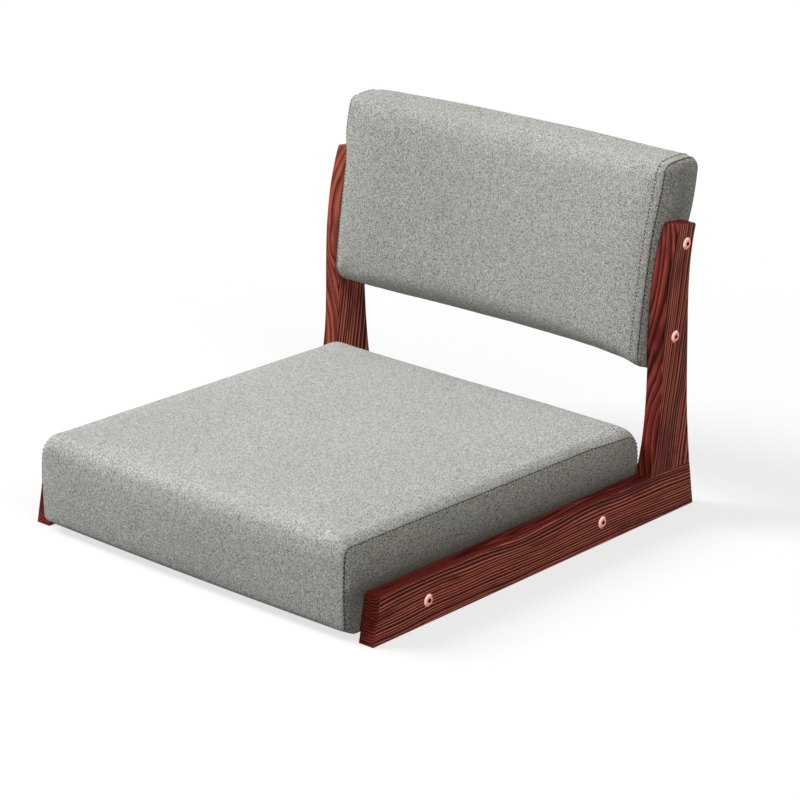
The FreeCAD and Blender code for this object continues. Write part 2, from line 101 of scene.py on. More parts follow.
# %% Node helpers
def add(tree, kind, inputs=(), **settings):
    """Adds a node, sets its settings, and links or sets its inputs by name or number."""
    made = tree.nodes.new(kind)
    for key, value in settings.items():
        setattr(made, key, value)
    for key, value in dict(inputs).items():
        if isinstance(value, bpy.types.NodeSocket):
            tree.links.new(value, made.inputs[key])
        else:
            made.inputs[key].default_value = value
    return made


def calc(tree, operation, *values):
    """One sum on one, two or three values."""
    return add(tree, "ShaderNodeMath", dict(enumerate(values)), operation=operation).outputs[0]


def plus(tree, a, b):
    """Two values added."""
    return calc(tree, "ADD", a, b)


def times(tree, a, b):
    """Two values multiplied."""
    return calc(tree, "MULTIPLY", a, b)


def vector(tree, operation, *values):
    """One sum on places or directions: its outputs are a place and a plain value."""
    return add(tree, "ShaderNodeVectorMath", dict(enumerate(values)), operation=operation).outputs


def xyz(tree, place):
    """The three numbers of a place."""
    return add(tree, "ShaderNodeSeparateXYZ", {0: place}).outputs


def fade(tree, value, low, high, out_low=0.0, out_high=1.0):
    """Turns the span from low to high smoothly into the span from out_low to out_high."""
    made = add(tree, "ShaderNodeMapRange", {"Value": value, "From Min": low, "From Max": high,
               "To Min": out_low, "To Max": out_high}, interpolation_type="SMOOTHSTEP")
    return made.outputs["Result"]


def blend(tree, factor, a, b, kind="MIX"):
    """Mixes two colours."""
    made = add(tree, "ShaderNodeMix", data_type="RGBA", blend_type=kind)
    for socket, value in ((made.inputs[0], factor), (made.inputs[6], a), (made.inputs[7], b)):
        if isinstance(value, bpy.types.NodeSocket):
            tree.links.new(value, socket)
        else:
            socket.default_value = value
    return made.outputs[2]


def ramp(tree, value, stops):
    """Colours along a value from 0 to 1, given as place and colour pairs."""
    made = add(tree, "ShaderNodeValToRGB", {"Fac": value})
    bar = made.color_ramp.elements
    while len(bar) < len(stops):
        bar.new(0.5)
    for mark, (place, tint) in zip(bar, stops):
        mark.position, mark.color = place, tint
    return made.outputs["Color"]


def noise(tree, where, scale, detail=2.0, rough=0.5):
    """A noise value from 0 to 1 at a place."""
    made = add(tree, "ShaderNodeTexNoise", {"Vector": where, "Scale": scale, "Detail": detail,
               "Roughness": rough})
    return made.outputs["Fac"]


def stretched(tree, where, scale, move=(0, 0, 0)):
    """A place scaled along each axis, and moved."""
    return add(tree, "ShaderNodeMapping", {"Vector": where, "Scale": scale,
               "Location": move}).outputs[0]


def colour(red, green, blue):
    """A colour from 0 to 255 as the eye sees it, as the linear light that nodes work in."""
    return tuple((v / 255) ** 2.2 for v in (red, green, blue)) + (1.0,)


def new_finish(name, roughness=0.5, **settings):
    """An empty material with its shader and an Object coordinate to paint by."""
    finish = bpy.data.materials.new(name)
    finish.use_nodes = True
    tree = finish.node_tree
    shader = tree.nodes["Principled BSDF"]
    shader.inputs["Roughness"].default_value = roughness
    for key, value in settings.items():
        shader.inputs[key.replace("_", " ")].default_value = value
    where = add(tree, "ShaderNodeTexCoord").outputs["Object"]
    return finish, tree, shader, where


def raised(tree, shader, height, strength, distance):
    """Lets a height pattern shade the surface as small relief."""
    bump = add(tree, "ShaderNodeBump", {"Height": height, "Strength": strength,
               "Distance": distance})
    tree.links.new(bump.outputs[0], shader.inputs["Normal"])


def paint(finish, *names):
    """Gives the finish to ready-made pieces."""
    for name in names:
        mesh = nodes[name].data
        mesh.materials.clear()
        mesh.materials.append(finish)
    print(finish.name, "on", ", ".join(names))


# %% [markdown]
# ## Dark brushed softwood
# The side frames are pine, baked and stained until the summer growth is orange-brown and the
# winter growth almost black. Grain could be a picture, but a board is cut from a round trunk, so
# here each board knows where its trunk's core lay. The distance from that core, counted in rings,
# gives stripes on the long faces, arcs on the sawn ends and waves where a curved edge cuts across.

# %% Wood
summer_light, summer, spring = colour(254, 142, 108), colour(222, 112, 92), colour(166, 78, 66)
autumn, early_winter, late_winter = colour(104, 36, 47), colour(22, 2, 19), colour(18, 1, 18)


def trunk_wood(name, core, tilt, seed, pitch, pale, narrow_tint, calm, wander, knot=None):
    """Wood cut from a trunk whose core passes a point, in metres, tilted by degrees from upright.

    Rings are counted as distance from the core over the ring pitch in millimetres. Slow noise
    bends the trunk by up to `wander` mm, faster noise gives uneven years, and fine noise drawn out
    along the trunk gives fibres. The share `pale` of each year is pale. Faces that don't face
    sideways take the narrow tint, an even brown by the share `calm`, and thinner dark growth.
    """
    finish, tree, shader, where = new_finish(name, roughness=0.5, Specular_IOR_Level=0.06)
    local = add(tree, "ShaderNodeMapping", {"Vector": vector(tree, "SUBTRACT", where, core)[0],
                "Scale": (1000, 1000, 1000), "Rotation": (math.radians(tilt), 0, 0)}).outputs[0]

    # The bent trunk, and each place's distance from its core.
    bend = add(tree, "ShaderNodeTexNoise", {"Vector": stretched(tree, local, (0.018, 0.018, 0.0075),
               (seed, 0, 0)), "Scale": 1.0, "Detail": 1.0}).outputs["Color"]
    bend = vector(tree, "SUBTRACT", bend, (0.5, 0.5, 0.5))[0]
    bent = vector(tree, "ADD", local, vector(tree, "MULTIPLY", bend, (wander,) * 3)[0])[0]
    part = xyz(tree, bent)
    radius = calc(tree, "SQRT", plus(tree, times(tree, part[0], part[0]),
                                     times(tree, part[1], part[1])))
    if knot:
        gap = vector(tree, "SUBTRACT", where, knot)[0]
        near = vector(tree, "LENGTH", vector(tree, "MULTIPLY", gap, (1000, 300, 460))[0])["Value"]
        radius = plus(tree, radius, fade(tree, near, 0.0, 15.0, 3.2, 0.0))

    # Years: whole numbers of rings. The share is how far through its year a place is.
    uneven = noise(tree, stretched(tree, bent, (0.09, 0.09, 0.004), (seed, seed, 0)), 1.0, 1.0)
    fibres = noise(tree, stretched(tree, bent, (1.5, 1.5, 0.035)), 1.0, 3.0, 0.65)
    ragged = times(tree, calc(tree, "SUBTRACT", fibres, 0.5), 0.1)
    rings = plus(tree, calc(tree, "DIVIDE", radius, pitch),
                 plus(tree, times(tree, uneven, 1.2), ragged))
    luck = add(tree, "ShaderNodeTexWhiteNoise", {"W": plus(tree, seed,
               calc(tree, "FLOOR", rings))}, noise_dimensions="1D").outputs["Value"]
    facing = xyz(tree, add(tree, "ShaderNodeNewGeometry").outputs["True Normal"])[0]
    narrow = fade(tree, calc(tree, "ABSOLUTE", facing), 0.3, 0.9, 0.9, 0.0)
    share = calc(tree, "POWER", calc(tree, "FRACT", rings),
                 plus(tree, times(tree, luck, 1.1), 0.5))
    share = calc(tree, "POWER", share, fade(tree, narrow, 0.0, 0.9, 1.0, 3.0))

    # Colours: the year's ramp, weaker years, deep patches, streaks, and the narrow faces' tint.
    year = ramp(tree, share, [(0.0, spring), (0.1, summer_light), (pale - 0.1, summer),
                (pale, autumn), (pale + 0.08, early_winter), (0.94, late_winter), (1.0, spring)])
    plain = blend(tree, fade(tree, fibres, 0.35, 0.68), colour(102, 38, 47), colour(192, 94, 78))
    shade = blend(tree, fade(tree, luck, 0.55, 1.0, 0.0, 0.5), year, plain)
    deep = ramp(tree, share, [(0.0, colour(110, 44, 44)), (0.4, colour(90, 32, 38)),
                (0.7, colour(34, 6, 20)), (1.0, colour(90, 34, 38))])
    patch = noise(tree, stretched(tree, bent, (0.045, 0.045, 0.012), (0, seed, 0)), 1.0, 3.0, 0.55)
    shade = blend(tree, fade(tree, patch, 0.46, 0.68, 0.0, 0.85), shade, deep)
    streaks = blend(tree, fade(tree, fibres, 0.3, 0.7), colour(36, 8, 20), colour(204, 112, 80))
    shade = blend(tree, 0.12, shade, streaks)
    if knot:
        shade = blend(tree, fade(tree, near, 0.5, 4.5, 0.7, 0.0), shade, colour(60, 18, 24))
    shade = blend(tree, narrow, shade, blend(tree, 1.0, shade, colour(*narrow_tint), "MULTIPLY"))
    shade = blend(tree, times(tree, narrow, calm), shade, colour(112, 55, 50))
    tree.links.new(shade, shader.inputs["Base Color"])
    tree.links.new(fade(tree, share, 0.4, 0.9, 0.54, 0.42), shader.inputs["Roughness"])
    relief = plus(tree, fade(tree, share, 0.4, 0.8), times(tree, fibres, 0.6))
    raised(tree, shader, relief, 0.35, 0.0002)
    return finish


right_rail_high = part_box("right_rail")[1]
outer, rail_top = right_rail_high.x, right_rail_high.z
upright_back, upright_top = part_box("right_upright")[1].y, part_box("right_upright")[1].z
print("outer face", round(outer / mm, 1), "rail top", round(rail_top / mm, 1))

rail = dict(tilt=90.0, pitch=2.9, pale=0.41, narrow_tint=(170, 116, 128), calm=0.2, wander=15.0)
paint(trunk_wood("right rail wood", (outer - 0.010, 0, rail_top + 0.009), seed=1.7, **rail),
      "right_rail")
paint(trunk_wood("left rail wood", (-outer + 0.012, 0, rail_top + 0.008), seed=5.2, **rail),
      "left_rail")
paint(trunk_wood("right upright wood", (outer + 0.032, upright_back + 0.030, 0.15), tilt=9.0,
                 seed=4.6, pitch=3.2, pale=0.43, narrow_tint=(158, 112, 126), calm=0.2,
                 wander=8.0), "right_upright")
paint(trunk_wood("left upright wood", (-outer - 0.030, upright_back + 0.030, 0.15), tilt=9.0,
                 seed=8.9, pitch=3.4, pale=0.6, narrow_tint=(206, 200, 192), calm=0.4,
                 wander=7.0, knot=(-outer + 0.010, upright_back - 0.060, 0.192)), "left_upright")

# %% [markdown]
# ## Pale inner wood
# Under the cloth are plain battens, plywood and dowels. Nobody sees them on the finished chair, but
# one that is taken apart shows them. Rings round a core would be too much here, so noise drawn out
# along each piece gives the fibres, and a wave gives the plies.

# %% Inner wood
def pale_wood(name, stretch, light, dark, plies=False):
    """Bare pale wood: noise drawn out along one axis, or thin plies stacked upwards."""
    finish, tree, shader, where = new_finish(name, roughness=0.68)
    lines = noise(tree, stretched(tree, where, stretch), 1.0, 4.0, 0.6)
    tone = noise(tree, where, 9.0, 2.0)
    shade = blend(tree, fade(tree, lines, 0.35, 0.7), colour(*light), colour(*dark))
    shade = blend(tree, times(tree, tone, 0.25), shade, colour(*dark))
    if plies:
        height = xyz(tree, where)[2]
        wave = calc(tree, "SINE", times(tree, height, 4200.0))
        shade = blend(tree, fade(tree, wave, 0.4, 0.9, 0.0, 0.35), shade, colour(120, 82, 50))
    tree.links.new(shade, shader.inputs["Base Color"])
    raised(tree, shader, lines, 0.2, 0.0002)
    return finish


paint(pale_wood("batten pine across", (40, 900, 900), (214, 178, 132), (176, 132, 86)),
      "seat_batten_front", "seat_batten_rear")
paint(pale_wood("batten pine", (900, 40, 300), (214, 178, 132), (176, 132, 86)),
      "seat_batten_left", "seat_batten_right", "back_batten_left", "back_batten_right")
paint(pale_wood("plywood", (60, 700, 700), (206, 172, 128), (170, 130, 88), True),
      "seat_board", "back_board")
paint(pale_wood("beech dowel", (1200, 1200, 120), (210, 168, 128), (184, 136, 96)),
      "upright_dowels", "seat_frame_dowels")

# %% [markdown]
# ## Metal
# The bolts are steel with a rose copper plating, polished but handled. An even metal colour would
# look like plastic on heads this small, so the plating has faint cloudy wear in its roughness, a
# painted highlight on its upper front rim, a painted golden reflection on its lower rim, and
# painted shade in its socket and on the side of its rim. Sleeves, screws and staples are zinc.

# %% Metal
def plated(name, tint, worn_tint, roughness, scale, low=0.0, high=0.0):
    """Plated metal with small clouds; painted shade where it lies deep, between two depths across.

    With that shade it also gets a painted highlight on its upper front rim and a painted golden
    reflection on its lower one.
    """
    finish, tree, shader, where = new_finish(name, roughness=roughness, Metallic=1.0)
    cloud = noise(tree, where, scale, 3.0, 0.6)
    fine = noise(tree, where, scale * 9, 2.0)
    shade = blend(tree, fade(tree, cloud, 0.4, 0.7), colour(*tint), colour(*worn_tint))
    # Painted light: a pale highlight on the upper front rim, a golden reflection on the lower rim,
    # and dark painted shade in the socket and on the side of the rim, where the head meets the
    # wood.
    if high:
        facing = vector(tree, "DOT_PRODUCT", add(tree, "ShaderNodeNewGeometry").outputs["Normal"],
                        (0, -0.75, 0.66))["Value"]
        shade = blend(tree, fade(tree, facing, 0.12, 0.32), shade, colour(252, 210, 192))
        shade = blend(tree, fade(tree, facing, -0.2, -0.04, 0.9, 0.0), shade, colour(190, 112, 62))
        across_x = xyz(tree, where)[0]
        deep = fade(tree, calc(tree, "ABSOLUTE", across_x), low, high, 0.93, 0.0)
        shade = blend(tree, deep, shade, colour(84, 46, 30))
    tree.links.new(shade, shader.inputs["Base Color"])
    tree.links.new(fade(tree, fine, 0.3, 0.7, roughness * 0.8, roughness * 1.25),
                   shader.inputs["Roughness"])
    raised(tree, shader, fine, 0.05, 0.00005)
    return finish


paint(plated("rose copper plating", (230, 156, 136), (212, 128, 108), 0.22, 260.0,
             outer + 0.3 * mm, outer + 0.9 * mm), "seat_bolts", "back_bolts")
paint(plated("zinc plating", (196, 198, 196), (168, 172, 174), 0.36, 200.0),
      "seat_insert_nuts", "back_insert_nuts", "seat_board_screws", "back_board_screws",
      "seat_staples")

# %% [markdown]
# ## Lining and foam
# The black lining under the seat is pressed from loose fibres, and shows small pressed dots. Two
# sine waves give them without a picture. The foam's open cells are round pits, and of Blender's
# patterns Voronoi is the one made of such cells.

# %% Lining and foam
def lining_finish():
    """Black pressed fibres with rows of pressed dots, from two sine waves multiplied."""
    finish, tree, shader, where = new_finish("pressed lining", roughness=0.85)
    part = xyz(tree, where)
    dots = times(tree, calc(tree, "SINE", times(tree, part[0], 2600.0)),
                 calc(tree, "SINE", times(tree, part[1], 2600.0)))
    hairs = noise(tree, stretched(tree, where, (900, 500, 500)), 1.0, 4.0, 0.7)
    tree.links.new(blend(tree, fade(tree, hairs, 0.35, 0.7), colour(22, 22, 23),
                         colour(44, 44, 46)), shader.inputs["Base Color"])
    raised(tree, shader, plus(tree, dots, hairs), 0.4, 0.0003)
    return finish


def foam_finish():
    """Cream foam with open cells."""
    finish, tree, shader, where = new_finish("seat foam", roughness=0.95)
    cells = add(tree, "ShaderNodeTexVoronoi", {"Vector": where, "Scale": 700.0}).outputs["Distance"]
    tree.links.new(blend(tree, fade(tree, cells, 0.1, 0.6), colour(196, 180, 132),
                         colour(236, 224, 184)), shader.inputs["Base Color"])
    raised(tree, shader, cells, 0.5, 0.0005)
    return finish


paint(lining_finish(), "seat_dust_cover")
paint(foam_finish(), "seat_foam", "back_foam_front", "back_foam_rear")

# %% [markdown]
# ## The cloth
# The cover is a heathered twill of light and dark grey-green yarns. Flat colour would look like
# paper. Yarns are counted in both directions: which of the two lies on top makes the twill's
# slanting ribs, and each yarn has its own shade that changes along it. The pattern follows a
# measure stored on the cloth itself, in metres along and across it, so it turns with the cloth.

# %% Cloth
yarn_long, yarn_cross = 0.78, 1.25     # millimetres from one yarn to the next
pucker_pitch = 5.0                     # millimetres from one pucker to the next along a seam


def cloth_finish(name, light, dark, far_shade=0.0):
    """Heathered twill painted by the measure `weave`; puckers fade with the distance `from_seam`.

    With a share `far_shade` a panel gets painted shade: darker with the distance from its seam,
    where it goes in behind wood, and darker where it meets the rails' upper side.

    Yarns run both ways. Counted in yarns, a place whose two numbers add up to 0 or 1 in a round of
    four shows the lengthwise yarn, and else the crosswise one, which makes slanting ribs.
    """
    finish, tree, shader, where = new_finish(name, roughness=0.88, Sheen_Weight=0.12,
                                             Sheen_Roughness=0.5)
    laid = add(tree, "ShaderNodeAttribute", attribute_name="weave").outputs["Vector"]
    thread = stretched(tree, laid, (1000, 1000, 1000))
    part = xyz(tree, thread)
    sway = times(tree, noise(tree, thread, 0.22, 2.0), 2.2)
    long_yarn = plus(tree, calc(tree, "DIVIDE", part[1], yarn_long), sway)
    cross_yarn = plus(tree, calc(tree, "DIVIDE", part[0], yarn_cross), sway)
    number_long = calc(tree, "FLOOR", long_yarn)
    number_cross = calc(tree, "FLOOR", cross_yarn)
    round_of_four = calc(tree, "FLOORED_MODULO", plus(tree, number_long, number_cross), 4.0)
    cross_on_top = calc(tree, "GREATER_THAN", round_of_four, 1.5)
    swell_long, swell_cross = [calc(tree, "SINE", times(tree, calc(tree, "FRACT", yarn), math.pi))
                               for yarn in (long_yarn, cross_yarn)]
    height = add(tree, "ShaderNodeMix", {0: cross_on_top, 2: swell_long, 3: swell_cross},
                 data_type="FLOAT").outputs[0]
    along_long = add(tree, "ShaderNodeCombineXYZ", {0: times(tree, number_long, 3.7),
                     1: times(tree, part[0], 1.1)}).outputs[0]
    along_cross = add(tree, "ShaderNodeCombineXYZ", {
                      0: times(tree, part[1], 1.1),
                      1: times(tree, number_cross, 3.7), 2: 5.0}).outputs[0]
    tone = add(tree, "ShaderNodeMix", {0: cross_on_top, 2: noise(tree, along_long, 1.0, 1.0),
               3: noise(tree, along_cross, 1.0, 1.0)}, data_type="FLOAT").outputs[0]
    fleck = noise(tree, thread, 1.9, 1.0)
    mixed = plus(tree, times(tree, tone, 0.5), times(tree, fleck, 0.5))
    mixed = plus(tree, mixed, times(tree, height, 0.05))
    shade = blend(tree, fade(tree, mixed, 0.44, 0.61), colour(*dark), colour(*light))
    cloudy = noise(tree, where, 7.0, 2.0)
    shade = blend(tree, times(tree, cloudy, 0.2), shade, colour(*dark))
    seam = add(tree, "ShaderNodeAttribute", attribute_name="from_seam").outputs["Fac"]
    # Painted shade: darker away from the seam, and just above the rails' upper side.
    if far_shade:
        shade = blend(tree, fade(tree, seam, 0.004, 0.05, 0.0, far_shade), shade, colour(*dark))
        above = xyz(tree, where)[2]
        painted_rail_shade = fade(tree, above, rail_top - 0.001, rail_top + 0.012, 0.45, 0.0)
        shade = blend(tree, painted_rail_shade, shade, colour(*dark))
    tree.links.new(shade, shader.inputs["Base Color"])
    wave = calc(tree, "SINE", times(tree, part[0], 2 * math.pi / pucker_pitch))
    pull = times(tree, fade(tree, seam, 0.0, 0.007, 1.0, 0.0), wave)
    raised(tree, shader, plus(tree, height, times(tree, pull, 0.4)), 0.5, 0.0004)
    return finish


seat_cloth = cloth_finish("seat twill", (232, 233, 228), (84, 84, 78))
# Painted shade: the back is the seat's cloth, painted a little darker.
back_cloth = cloth_finish("back twill", (222, 222, 216), (80, 80, 74))
# Painted shade: the side panels are the cover's cloth, painted much darker, with a 0.5 share of
# further painted shade away from the seam.
shaded_side_cloth = cloth_finish("shaded side twill", (206, 202, 191), (50, 48, 42), 0.5)

# %% [markdown]
# ## Cloth skins
# A pad could be a subdivided box, but then its corners couldn't be told one by one. Here it is a
# ring carried across the chair: bottom, front, top and rear with four round corners. At each end
# the rings draw in round the edge, up to the seam, and then shrink to a line in the middle of the
# side panel. All rings have as many points, so the pad is one grid of numbers.

# %% Rings
def ring_grid(counts, front, rear, bottom, top_front, top_rear, radii, bows):
    """Rings of a pad, one row for each entry of the arrays given.

    A corner point is its centre plus the radius times the cosine and sine of its turn. A side
    point lies straight between two corners, moved out by the bow times 1 - (2t - 1) squared. The
    counts are the points of a corner, of the front or rear, and of the top or bottom.
    """
    corner_points, front_points, top_points = counts
    low_front, low_rear, high_rear, high_front = radii
    bow_bottom, bow_rear, bow_top, bow_front = bows
    parts = []

    def corner(y, z, radius, start):
        turn = np.radians(start - 90 * np.linspace(0, 1, corner_points))
        parts.append(np.stack([y[:, None] + radius[:, None] * np.cos(turn),
                               z[:, None] + radius[:, None] * np.sin(turn)], -1))

    def side(y0, z0, y1, z1, count, bow, out):
        t = np.linspace(0, 1, count + 2)[1:-1]
        swell = bow[:, None] * (1 - (2 * t - 1) ** 2)
        parts.append(np.stack([y0[:, None] + (y1 - y0)[:, None] * t + swell * out[0],
                               z0[:, None] + (z1 - z0)[:, None] * t + swell * out[1]], -1))

    corner(front + low_front, bottom + low_front, low_front, 270)
    side(front, bottom + low_front, front, top_front - high_front, front_points, bow_front, (-1, 0))
    corner(front + high_front, top_front - high_front, high_front, 180)
    side(front + high_front, top_front, rear - high_rear, top_rear, top_points, bow_top, (0, 1))
    corner(rear - high_rear, top_rear - high_rear, high_rear, 90)
    side(rear, top_rear - high_rear, rear, bottom + low_rear, front_points, bow_rear, (1, 0))
    corner(rear - low_rear, bottom + low_rear, low_rear, 0)
    side(rear - low_rear, bottom, front + low_front, bottom, top_points, bow_bottom, (0, -1))
    return np.concatenate(parts, 1)


def middle_line(ring, counts):
    """For each point of an end ring, its place on the line in the middle of the side panel.

    The line runs along the panel's longer side and stops half the shorter side from its ends.
    """
    size = ring.max(0) - ring.min(0)
    long = int(size[1] > size[0])
    corner, front, top = counts
    up, over = np.linspace(0, 1, front + 2)[1:-1], np.linspace(0, 1, top + 2)[1:-1]
    if long:
        share = [np.zeros(corner), up, np.ones(corner + top + corner), up[::-1],
                 np.zeros(corner + top)]
    else:
        share = [np.zeros(corner + front + corner), over, np.ones(corner + front + corner),
                 over[::-1]]
    line = np.repeat((ring.max(0) + ring.min(0))[None] / 2, len(ring), 0)
    line[:, long] += (np.concatenate(share) - 0.5) * abs(size[0] - size[1])
    return line


# %% [markdown]
# The rows along the pad: an even body, the turn round the edge with rows close to the seams, and
# the shrinking rows of the side panel. A pad sewn by hand isn't the same at both ends, so each
# side is worked out on its own, and the left seam lies a little further round the edge.

# %% Rows
pad_half = 0.2057
row_spacing = 0.0085
panel_shares = np.array([0.94, 0.86, 0.77, 0.67, 0.57, 0.47, 0.37, 0.27, 0.18, 0.1, 0.04, 0.0])


def pad_side(rings_at, counts, sign, edge, turns):
    """The pad's grid from mid width to the middle line of one side, and its number of body rows.

    Round the edge a row stands at half width - edge + edge * sin(turn), and its ring is drawn in
    by 1 - cos(turn) times the depths that the pad's own formula gives.
    """
    flat_half = pad_half - edge
    body = np.linspace(0, flat_half, max(2, round(flat_half / row_spacing)))
    turn = np.radians(np.array(turns))
    x = np.concatenate([body, flat_half + edge * np.sin(turn)]) * sign
    drawn = np.concatenate([np.zeros(len(body)), 1 - np.cos(turn)])
    rings = rings_at(x, drawn)
    line = middle_line(rings[-1], counts)
    shrunk = line + (rings[-1] - line) * panel_shares[:, None, None]
    rings = np.concatenate([rings, shrunk])
    x = np.concatenate([x, np.full(len(panel_shares), pad_half * sign)])
    return np.concatenate([np.broadcast_to(x[:, None, None], rings.shape[:2] + (1,)), rings],
                          2), len(body)


def whole_pad(rings_at, counts, edge, turns, seams):
    """The pad's grid from the left middle line to the right one, and its two seam rows."""
    right, body = pad_side(rings_at, counts, 1, edge, turns)
    left = pad_side(rings_at, counts, -1, edge, turns)[0][:0:-1]
    rows = [len(left) + sign * (body + turns.index(turn)) for sign, turn in zip((-1, 1), seams)]
    return np.concatenate([left, right]), rows


def beyond(grid, seams):
    """Which rows of a grid lie beyond its seams, as one column."""
    row = np.arange(len(grid))
    return ((row < seams[0]) | (row > seams[1]))[:, None]


def smooth(value, low, high):
    """0 below low, 1 above high, and 3 t ** 2 - 2 t ** 3 between them."""
    t = np.clip((value - low) / (high - low), 0, 1)
    return t * t * (3 - 2 * t)


# %% [markdown]
# ## From a grid to a mesh
# The middle line of a side panel is shared by its upper and lower half. Blender could merge the
# doubled points later, but then nobody would know which vertex a point of the grid became. So equal
# points are found in the numbers first, and faces that lose a corner there become triangles.

# %% Skins
def grid_faces(rows, columns, stride):
    """Corner numbers of all faces of a grid whose rows are stored with a stride.

    With a stride of columns, the last face of a ring ends at its first point. With a stride of
    columns + 1, it ends at an extra last number, as a tape measure laid round the ring needs.
    """
    row, column = np.meshgrid(np.arange(rows - 1), np.arange(columns), indexing="ij")
    nxt = (column + 1) % stride
    return np.stack([row * stride + column, (row + 1) * stride + column,
                     (row + 1) * stride + nxt, row * stride + nxt], -1).reshape(-1, 4)


def skin(name, grid, values=()):
    """A mesh object from a grid, with named values; also the vertex of each point.

    Values are stored on points, but those with an extra last column are stored on face corners.
    """
    flat = grid.reshape(-1, 3)
    _, first, vertex = np.unique(np.round(flat, 6), axis=0, return_index=True,
                                 return_inverse=True)
    vertex = vertex.reshape(-1)
    faces = vertex[grid_faces(*grid.shape[:2], grid.shape[1])]
    same = faces == np.roll(faces, -1, 1)
    whole = faces[~same.any(1)]
    cut = faces[same.sum(1) == 1]
    cut = cut[~same[same.sum(1) == 1]].reshape(-1, 3)
    mesh = bpy.data.meshes.new(name)
    mesh.from_pydata(flat[first], [], whole.tolist() + cut.tolist())
    mesh.polygons.foreach_set("use_smooth", np.ones(len(mesh.polygons), bool))
    for key, value in dict(values).items():
        kind, field = ("FLOAT_VECTOR", "vector") if value.ndim == 3 else ("FLOAT", "value")
        on_corners = value.shape[1] > grid.shape[1]
        chosen = grid_faces(*grid.shape[:2], value.shape[1]).ravel() if on_corners else first
        data = value.reshape(value.shape[0] * value.shape[1], -1)[chosen]
        mesh.attributes.new(key, kind, "CORNER" if on_corners else "POINT").data.foreach_set(
            field, data.astype(np.float32).ravel())
    mesh.update()
    return placed(name, mesh), vertex


# %% [markdown]
# ## Filling the pads
# Foam presses the cloth outwards between the seams. A cloth simulation with a little inner
# pressure gives the uneven tension that a formula wouldn't: the seams, the underside and what the
# side frames clamp are held, and no point may move more than a few millimetres.

# %% Filling
filling_steps, filling_pressure = 20, 4.0


def filled(name, grid, held, most):
    """The grid after some steps of cloth under pressure; a move d becomes d * most / (most + d).

    The most may be one length or one for each point.
    """
    made, vertex = skin(name, grid)
    group = made.vertex_groups.new(name="held")
    group.add(np.unique(vertex[held.ravel()]).tolist(), 1.0, "REPLACE")
    cloth = made.modifiers.new("Cloth", "CLOTH")
    setup = cloth.settings
    setup.quality = 6
    setup.mass = 0.3
    setup.tension_stiffness = setup.compression_stiffness = 15
    setup.shear_stiffness = 5
    setup.bending_stiffness = 0.6
    setup.use_pressure = True
    setup.uniform_pressure_force = filling_pressure
    setup.vertex_group_mass = "held"
    setup.effector_weights.gravity = 0
    scene = bpy.context.scene
    for step in range(1, filling_steps + 1):
        scene.frame_set(step)
    result = made.evaluated_get(bpy.context.evaluated_depsgraph_get()).to_mesh()
    moved = np.empty(len(result.vertices) * 3)
    result.vertices.foreach_get("co", moved)
    moved = moved.reshape(-1, 3)[vertex].reshape(grid.shape)
    scene.frame_set(1)
    mesh = made.data
    bpy.data.objects.remove(made)
    bpy.data.meshes.remove(mesh)
    move = moved - grid
    length = np.linalg.norm(move, axis=2, keepdims=True)
    print(name, "moved by up to", round(float(length.max() / mm), 1), "mm before the limit")
    most = np.broadcast_to(most, grid.shape[:2])[..., None]
    return grid + move * most / (most + length)


def outward(grid):
    """Unit normals of a grid, from the cross product of its two neighbour differences."""
    along = np.roll(grid, -1, 1) - np.roll(grid, 1, 1)
    over = np.gradient(grid, axis=0)
    normal = np.cross(over, along)
    return normal / np.maximum(np.linalg.norm(normal, axis=2, keepdims=True), 1e-12)


# %% [markdown]
# ## Cutting the skin at its seams
# The filled grid is cut into the long cover and two side panels. A painted line would do for a seam
# seen from afar, but each edge here turns in by about two millimetres, as a sewn allowance does, so
# the seam is a real groove. A Subdivision Surface smooths each skin, and a Solidify gives the cloth
# its thickness.

# %% Sewing
def run_lengths(ring):
    """Length along a ring up to each of its points."""
    step = np.linalg.norm(np.diff(ring, axis=0), axis=1)
    return np.concatenate([[0], np.cumsum(step)])


def turned_in(rows, normals, side, lift):
    """A seam row set back from the seam by 0.4 mm, and two allowance rows that go in from it."""
    across_x = np.array([side, 0, 0])
    return [rows + across_x * 0.4 * mm + normals * lift,
            rows + across_x * 0.4 * mm - normals * 1.1 * mm,
            rows - across_x * 0.2 * mm - normals * 2.2 * mm]


